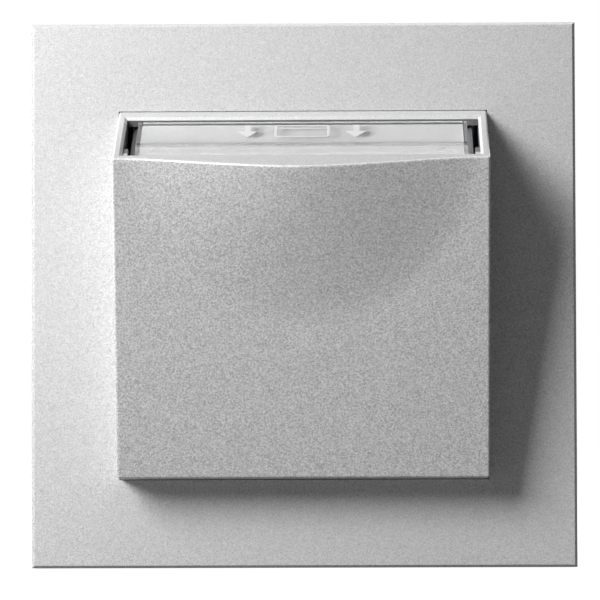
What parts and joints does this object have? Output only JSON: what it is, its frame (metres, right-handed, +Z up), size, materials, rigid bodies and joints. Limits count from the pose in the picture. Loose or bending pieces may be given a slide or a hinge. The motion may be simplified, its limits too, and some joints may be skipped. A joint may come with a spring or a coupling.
{
  "type": "hotel key card switch",
  "caption": "Flush key card switch: a flat square frame round a wedge-shaped card holder, whose lever works a changeover contact in the socket behind.",
  "frame": {"origin": "midway between the support ring's two wall box screw holes, on the wall's plane", "axes": "+X to the viewer's right, +Y into the wall, +Z up"},
  "size_m": [0.085, 0.0558, 0.085],
  "materials": {
    "lacquer_silver": "fine silver lacquer with a satin sheen",
    "clear_plastic": "clear and polished",
    "white_plastic": "fine moulded matt",
    "dark_plastic": "fine moulded matt",
    "light_grey_plastic": "moulded matt",
    "steel": "bright zinc",
    "zinc_steel": "zinc plated, stamped",
    "spring_steel": "drawn wire",
    "brass": "rolled strip",
    "contact_silver": "dull silver",
    "circuit_board": "green solder mask",
    "lamp_plastic": "moulded, gloss",
    "resistor_ceramic": "glazed ceramic",
    "tinned_wire": "tinned wire"
  },
  "bodies": {
    "root": {"cover_frame": "lacquer_silver", "card_housing": "lacquer_silver", "light_guide": "clear_plastic", "diffuser_plate": "white_plastic", "card_guide": "dark_plastic", "lever_pin": "steel", "support_ring": "zinc_steel", "socket_cover": "light_grey_plastic", "socket_base": "light_grey_plastic", "guide_screws": "steel", "cover_screws": "steel", "plunger_spring": "spring_steel", "blade_spring": "spring_steel", "common_strip": "brass", "closed_strip": "brass", "open_strip": "brass", "fixed_contacts": "contact_silver", "terminal_clamps": "zinc_steel", "terminal_screws": "steel", "lamp_board": "circuit_board", "lamps": "lamp_plastic", "resistors": "resistor_ceramic", "board_wires": "tinned_wire"},
    "lever": {"card_lever": "white_plastic"},
    "plunger": {"plunger": "white_plastic"},
    "contact_arm": {"contact_blade": "brass", "moving_contact": "contact_silver"}
  },
  "joints": [
    {"name": "lever_hinge", "type": "hinge", "parent": "root", "child": "lever", "pos_m": [0, -0.01607, 0.012], "axis": [1, 0, 0], "range_deg": [0, 5.5], "stiffness_Nm_per_rad": 0.002, "springref_deg": -9.55},
    {"name": "plunger_slide", "type": "slide", "parent": "root", "child": "plunger", "axis": [0, 1, 0], "range_m": [0, 0.00115], "deforming": ["plunger_spring"]},
    {"name": "blade_hinge", "type": "hinge", "parent": "root", "child": "contact_arm", "pos_m": [0, 0.0083, 0.01282], "axis": [1, 0, 0], "range_deg": [0, 5.15], "deforming": ["blade_spring"]}
  ],
  "couplings": [
    {"joint": "plunger_slide", "follows": "lever_hinge", "m_per_rad": 0.012},
    {"joint": "blade_hinge", "follows": "lever_hinge", "ratio": 0.93618}
  ]
}
